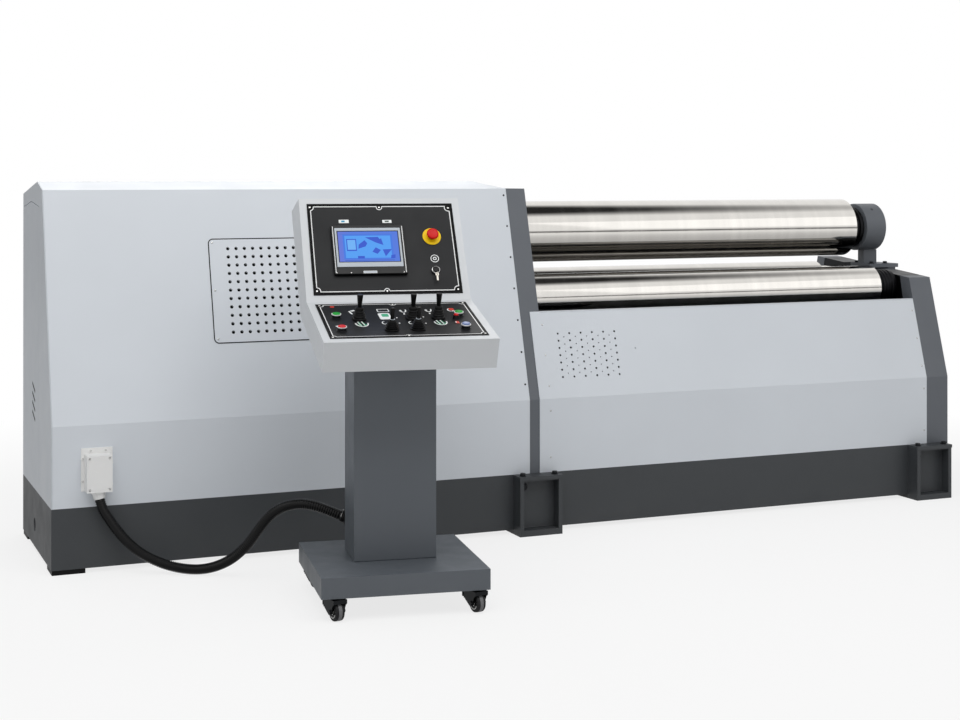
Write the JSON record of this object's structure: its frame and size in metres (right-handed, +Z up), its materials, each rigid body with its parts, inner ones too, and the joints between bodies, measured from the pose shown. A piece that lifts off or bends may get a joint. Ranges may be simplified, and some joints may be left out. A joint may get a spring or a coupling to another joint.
{
  "type": "four-roll plate bending machine",
  "caption": "Four-roll plate bending machine with a drive cabinet at one end, a swing-down bearing at the other and a separate operator console on castors joined by a hose.",
  "frame": {"origin": "on the floor under the drive-end foot bracket, on the line of the drive frame's inner face and the base's front face", "axes": "+X along the rolls from the drive cabinet to the drop end, +Y from the operator's side to the back, +Z up"},
  "size_m": [3.632, 2.0201, 1.283],
  "materials": {
    "cabinet_paint": "light blue-grey powder coat",
    "end_paint": "light grey powder coat",
    "base_paint": "dark grey paint",
    "frame_paint": "mid grey paint",
    "pillar_paint": "mid grey paint",
    "head_paint": "off-white powder coat",
    "black_plate": "matt black printed plate",
    "polished_roll": "ground and polished steel",
    "black_steel": "black oxide",
    "rubber": "matt",
    "tyre": "matt",
    "box_plastic": "off-white moulded",
    "black_plastic": "matt moulded",
    "red_plastic": "moulded",
    "yellow_plastic": "moulded",
    "green_plastic": "moulded",
    "blue_plastic": "moulded",
    "screen": "display",
    "bright_metal": "plated"
  },
  "bodies": {
    "machine": {"base_plinth": "base_paint", "levelling_pads": "rubber", "cabinet_housing": "cabinet_paint", "cabinet_end_panel": "end_paint", "vent_panel": "cabinet_paint", "drive_sill": "frame_paint", "drive_columns": "frame_paint", "drive_webs": "frame_paint", "drive_head": "frame_paint", "drop_sill": "frame_paint", "drop_columns": "frame_paint", "drop_webs": "frame_paint", "front_cover": "cabinet_paint", "rear_cover": "cabinet_paint", "floor_brackets": "base_paint", "junction_box": "box_plastic", "hose_glands": "box_plastic", "console_hose": "rubber", "console_base": "pillar_paint", "console_pillar": "pillar_paint", "console_head": "head_paint", "display_plate": "black_plate", "button_plate": "black_plate", "touch_screen": "screen", "estop_ring": "yellow_plastic", "key_switch": "bright_metal", "button_bezels": "bright_metal", "lever_boots": "rubber", "arm_pivot_lugs": "frame_paint"},
    "top_roll": {"top_roll": "polished_roll", "top_roll_journals": "polished_roll"},
    "bottom_carriage": {"bottom_bearing_blocks": "black_steel"},
    "bottom_roll": {"bottom_roll": "polished_roll", "bottom_roll_journals": "polished_roll"},
    "front_carriage": {"front_bearing_blocks": "black_steel"},
    "front_side_roll": {"front_side_roll": "polished_roll"},
    "rear_carriage": {"rear_bearing_blocks": "black_steel"},
    "rear_side_roll": {"rear_side_roll": "polished_roll"},
    "drop_end": {"swing_arm": "frame_paint", "drop_end_collar": "frame_paint"},
    "estop_knob": {"estop_knob": "red_plastic"},
    "key": {"key": "bright_metal"},
    "lever_1": {"lever_1": "black_plastic"},
    "lever_2": {"lever_2": "black_plastic"},
    "lever_3": {"lever_3": "black_plastic"},
    "lever_4": {"lever_4": "black_plastic"},
    "lever_5": {"lever_5": "black_plastic"},
    "start_button": {"start_button": "green_plastic"},
    "stop_button": {"stop_button": "red_plastic"},
    "pump_start_button": {"pump_start_button": "green_plastic"},
    "pump_stop_button": {"pump_stop_button": "red_plastic"},
    "reset_button": {"reset_button": "blue_plastic"},
    "castor_fl": {"castor_fork_fl": "black_steel"},
    "wheel_fl": {"castor_wheel_fl": "tyre"},
    "castor_fr": {"castor_fork_fr": "black_steel"},
    "wheel_fr": {"castor_wheel_fr": "tyre"},
    "castor_rl": {"castor_fork_rl": "black_steel"},
    "wheel_rl": {"castor_wheel_rl": "tyre"},
    "castor_rr": {"castor_fork_rr": "black_steel"},
    "wheel_rr": {"castor_wheel_rr": "tyre"}
  },
  "joints": [
    {"name": "top_roll_spin", "type": "hinge", "parent": "machine", "child": "top_roll", "pos_m": [0.8, 0.4515, 1.0836], "axis": [1, 0, 0], "continuous": true},
    {"name": "pinch_lift", "type": "slide", "parent": "machine", "child": "bottom_carriage", "axis": [0, 0, 1], "range_m": [0, 0.0495]},
    {"name": "bottom_roll_spin", "type": "hinge", "parent": "bottom_carriage", "child": "bottom_roll", "pos_m": [0.8, 0.4515, 0.8135], "axis": [1, 0, 0], "continuous": true},
    {"name": "front_roll_lift", "type": "slide", "parent": "machine", "child": "front_carriage", "axis": [0, 0.2079, 0.9781], "range_m": [0, 0.12]},
    {"name": "front_roll_spin", "type": "hinge", "parent": "front_carriage", "child": "front_side_roll", "pos_m": [0.8, 0.252, 0.84], "axis": [1, 0, 0], "continuous": true},
    {"name": "rear_roll_lift", "type": "slide", "parent": "machine", "child": "rear_carriage", "axis": [0, -0.2079, 0.9781], "range_m": [0, 0.12]},
    {"name": "rear_roll_spin", "type": "hinge", "parent": "rear_carriage", "child": "rear_side_roll", "pos_m": [0.8, 0.651, 0.84], "axis": [1, 0, 0], "continuous": true},
    {"name": "drop_end_tilt", "type": "hinge", "parent": "machine", "child": "drop_end", "pos_m": [1.86, 0.4515, 0.32], "axis": [0, 1, 0], "range_deg": [0, 75]},
    {"name": "lever_1_tilt", "type": "hinge", "parent": "machine", "child": "lever_1", "pos_m": [-0.96764, -0.81041, 0.88082], "axis": [0.988, -0.1547, 0], "range_deg": [-12, 12], "stiffness_Nm_per_rad": 0.3},
    {"name": "lever_2_tilt", "type": "hinge", "parent": "machine", "child": "lever_2", "pos_m": [-0.80805, -0.83835, 0.88011], "axis": [0.988, -0.1547, 0], "range_deg": [-12, 12], "stiffness_Nm_per_rad": 0.3},
    {"name": "lever_3_tilt", "type": "hinge", "parent": "machine", "child": "lever_3", "pos_m": [-0.72955, -0.84769, 0.88082], "axis": [0.988, -0.1547, 0], "range_deg": [-12, 12], "stiffness_Nm_per_rad": 0.3},
    {"name": "lever_4_tilt", "type": "hinge", "parent": "machine", "child": "lever_4", "pos_m": [-0.9025, -0.91798, 0.85743], "axis": [0.988, -0.1547, 0], "range_deg": [-12, 12], "stiffness_Nm_per_rad": 0.3},
    {"name": "lever_5_tilt", "type": "hinge", "parent": "machine", "child": "lever_5", "pos_m": [-0.8243, -0.92924, 0.85767], "axis": [0.988, -0.1547, 0], "range_deg": [-12, 12], "stiffness_Nm_per_rad": 0.3},
    {"name": "estop_push", "type": "slide", "parent": "machine", "child": "estop_knob", "axis": [0.1331, 0.8502, -0.5093], "range_m": [0, 0.005]},
    {"name": "key_turn", "type": "hinge", "parent": "machine", "child": "key", "pos_m": [-0.65433, -0.63239, 1.00433], "axis": [-0.1331, -0.8502, 0.5093], "range_deg": [-45, 45]},
    {"name": "start_button_push", "type": "slide", "parent": "machine", "child": "start_button", "axis": [0.0365, 0.2334, -0.9717], "range_m": [0, 0.003], "stiffness_N_per_m": 300},
    {"name": "stop_button_push", "type": "slide", "parent": "machine", "child": "stop_button", "axis": [0.0365, 0.2334, -0.9717], "range_m": [0, 0.003], "stiffness_N_per_m": 300},
    {"name": "pump_start_button_push", "type": "slide", "parent": "machine", "child": "pump_start_button", "axis": [0.0365, 0.2334, -0.9717], "range_m": [0, 0.003], "stiffness_N_per_m": 300},
    {"name": "pump_stop_button_push", "type": "slide", "parent": "machine", "child": "pump_stop_button", "axis": [0.0365, 0.2334, -0.9717], "range_m": [0, 0.003], "stiffness_N_per_m": 300},
    {"name": "reset_button_push", "type": "slide", "parent": "machine", "child": "reset_button", "axis": [0.0365, 0.2334, -0.9717], "range_m": [0, 0.003], "stiffness_N_per_m": 300},
    {"name": "castor_fl_swivel", "type": "hinge", "parent": "machine", "child": "castor_fl", "pos_m": [-1.06116, -0.85173, 0.06], "axis": [0, 0, 1], "continuous": true},
    {"name": "wheel_fl_spin", "type": "hinge", "parent": "castor_fl", "child": "wheel_fl", "pos_m": [-1.05806, -0.87351, 0.0285], "axis": [0.99, 0.1409, 0], "continuous": true},
    {"name": "castor_fr_swivel", "type": "hinge", "parent": "machine", "child": "castor_fr", "pos_m": [-0.64227, -0.91733, 0.06], "axis": [0, 0, 1], "continuous": true},
    {"name": "wheel_fr_spin", "type": "hinge", "parent": "castor_fr", "child": "wheel_fr", "pos_m": [-0.63917, -0.93911, 0.0285], "axis": [0.99, 0.1409, 0], "continuous": true},
    {"name": "castor_rl_swivel", "type": "hinge", "parent": "machine", "child": "castor_rl", "pos_m": [-0.99773, -0.44667, 0.06], "axis": [0, 0, 1], "continuous": true},
    {"name": "wheel_rl_spin", "type": "hinge", "parent": "castor_rl", "child": "wheel_rl", "pos_m": [-0.99463, -0.46845, 0.0285], "axis": [0.99, 0.1409, 0], "continuous": true},
    {"name": "castor_rr_swivel", "type": "hinge", "parent": "machine", "child": "castor_rr", "pos_m": [-0.57884, -0.51227, 0.06], "axis": [0, 0, 1], "continuous": true},
    {"name": "wheel_rr_spin", "type": "hinge", "parent": "castor_rr", "child": "wheel_rr", "pos_m": [-0.57574, -0.53405, 0.0285], "axis": [0.99, 0.1409, 0], "continuous": true}
  ]
}
